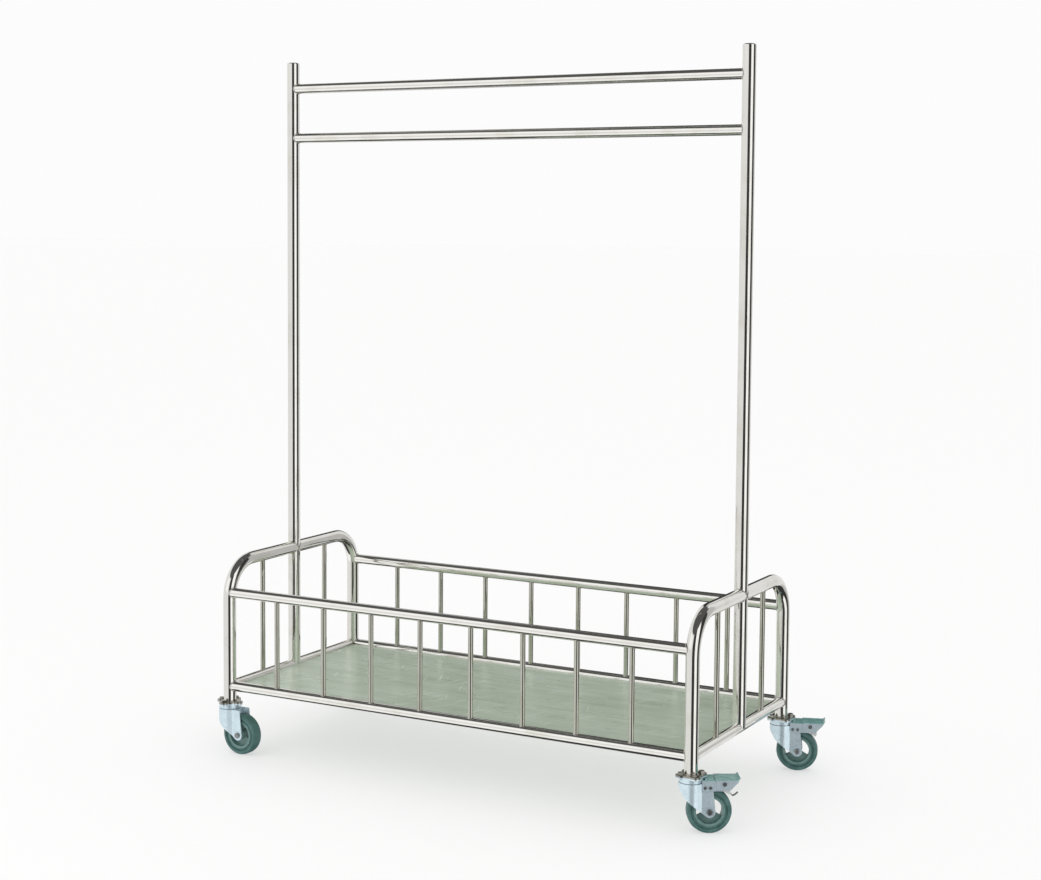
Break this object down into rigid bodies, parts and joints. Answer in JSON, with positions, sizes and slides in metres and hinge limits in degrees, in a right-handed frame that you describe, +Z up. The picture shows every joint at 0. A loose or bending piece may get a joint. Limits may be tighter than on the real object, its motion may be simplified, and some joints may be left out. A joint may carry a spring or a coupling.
{
  "type": "hotel luggage cart",
  "caption": "Wheeled hotel cart of polished tube with a railed deck, hooped ends, masts carrying garment hanging bars, and swivel casters with foot brakes at one end.",
  "frame": {"origin": "on the floor under the middle of the overall footprint", "axes": "+Z up, +X along the cart towards the braked end"},
  "size_m": [1.4216, 0.655, 1.762],
  "materials": {
    "polished_tube": "mirror-polished stainless tube",
    "deck_sheet": "satin stainless sheet, glossy, lightly scratched",
    "mast_cap": "polished end plug",
    "foot_flange": "satin stainless plate",
    "fastener": "bright zinc-plated fastener",
    "zinc_plate": "bright zinc-plated pressed steel",
    "ball_steel": "ground steel",
    "wheel_core": "moulded nylon",
    "bush_nylon": "plain nylon bush",
    "grey_tyre": "satin grey-green non-marking rubber",
    "pedal_coat": "glossy coated pressed steel",
    "brake_block": "light grey brake block"
  },
  "bodies": {
    "cart_frame": {"left_hoop": "polished_tube", "right_hoop": "polished_tube", "left_end_rail": "polished_tube", "right_end_rail": "polished_tube", "left_lower_post": "polished_tube", "right_lower_post": "polished_tube", "left_mast": "polished_tube", "right_mast": "polished_tube", "front_bottom_rail": "polished_tube", "back_bottom_rail": "polished_tube", "front_top_rail": "polished_tube", "back_top_rail": "polished_tube", "front_balusters": "polished_tube", "back_balusters": "polished_tube", "end_balusters": "polished_tube", "mast_caps": "mast_cap", "lower_hanging_bar": "polished_tube", "upper_hanging_bar": "polished_tube", "deck_panel": "deck_sheet", "deck_stiffeners": "deck_sheet", "foot_flanges": "foot_flange", "flange_bolts": "fastener", "king_pins": "zinc_plate", "swivel_balls": "ball_steel", "front_left_top_plate": "zinc_plate", "front_right_top_plate": "zinc_plate", "back_left_top_plate": "zinc_plate", "back_right_top_plate": "zinc_plate"},
    "front_left_swivel": {"front_left_fork": "zinc_plate", "front_left_axle_bolt": "fastener", "front_left_axle_sleeve": "ball_steel"},
    "front_left_wheel": {"front_left_wheel_rim": "wheel_core", "front_left_wheel_bush": "bush_nylon", "front_left_tyre": "grey_tyre"},
    "front_right_swivel": {"front_right_fork": "zinc_plate", "front_right_axle_bolt": "fastener", "front_right_axle_sleeve": "ball_steel", "front_right_brake_bracket": "zinc_plate", "front_right_brake_fasteners": "fastener"},
    "front_right_wheel": {"front_right_wheel_rim": "wheel_core", "front_right_wheel_bush": "bush_nylon", "front_right_tyre": "grey_tyre"},
    "front_right_pedal": {"front_right_brake_pedal": "pedal_coat", "front_right_brake_shoe": "brake_block"},
    "back_left_swivel": {"back_left_fork": "zinc_plate", "back_left_axle_bolt": "fastener", "back_left_axle_sleeve": "ball_steel"},
    "back_left_wheel": {"back_left_wheel_rim": "wheel_core", "back_left_wheel_bush": "bush_nylon", "back_left_tyre": "grey_tyre"},
    "back_right_swivel": {"back_right_fork": "zinc_plate", "back_right_axle_bolt": "fastener", "back_right_axle_sleeve": "ball_steel", "back_right_brake_bracket": "zinc_plate", "back_right_brake_fasteners": "fastener"},
    "back_right_wheel": {"back_right_wheel_rim": "wheel_core", "back_right_wheel_bush": "bush_nylon", "back_right_tyre": "grey_tyre"},
    "back_right_pedal": {"back_right_brake_pedal": "pedal_coat", "back_right_brake_shoe": "brake_block"}
  },
  "joints": [
    {"name": "front_left_swivel_turn", "type": "hinge", "parent": "cart_frame", "child": "front_left_swivel", "pos_m": [-0.67378, -0.29049, 0.114], "axis": [0, 0, 1], "continuous": true},
    {"name": "front_left_wheel_spin", "type": "hinge", "parent": "front_left_swivel", "child": "front_left_wheel", "pos_m": [-0.6338, -0.29188, 0.0508], "axis": [0.0349, 0.9994, 0], "continuous": true},
    {"name": "front_right_swivel_turn", "type": "hinge", "parent": "cart_frame", "child": "front_right_swivel", "pos_m": [0.60122, -0.29049, 0.114], "axis": [0, 0, 1], "continuous": true},
    {"name": "front_right_wheel_spin", "type": "hinge", "parent": "front_right_swivel", "child": "front_right_wheel", "pos_m": [0.63586, -0.27049, 0.0508], "axis": [-0.5, 0.866, 0], "continuous": true},
    {"name": "front_right_pedal_press", "type": "hinge", "parent": "front_right_swivel", "child": "front_right_pedal", "pos_m": [0.66358, -0.25449, 0.115], "axis": [-0.5, 0.866, 0], "range_deg": [0, 12]},
    {"name": "back_left_swivel_turn", "type": "hinge", "parent": "cart_frame", "child": "back_left_swivel", "pos_m": [-0.67378, 0.26951, 0.114], "axis": [0, 0, 1], "continuous": true},
    {"name": "back_left_wheel_spin", "type": "hinge", "parent": "back_left_swivel", "child": "back_left_wheel", "pos_m": [-0.63497, 0.25984, 0.0508], "axis": [0.2419, 0.9703, 0], "continuous": true},
    {"name": "back_right_swivel_turn", "type": "hinge", "parent": "cart_frame", "child": "back_right_swivel", "pos_m": [0.60122, 0.26951, 0.114], "axis": [0, 0, 1], "continuous": true},
    {"name": "back_right_wheel_spin", "type": "hinge", "parent": "back_right_swivel", "child": "back_right_wheel", "pos_m": [0.63904, 0.28254, 0.0508], "axis": [-0.3256, 0.9455, 0], "continuous": true},
    {"name": "back_right_pedal_press", "type": "hinge", "parent": "back_right_swivel", "child": "back_right_pedal", "pos_m": [0.6693, 0.29295, 0.115], "axis": [-0.3256, 0.9455, 0], "range_deg": [0, 12]}
  ]
}
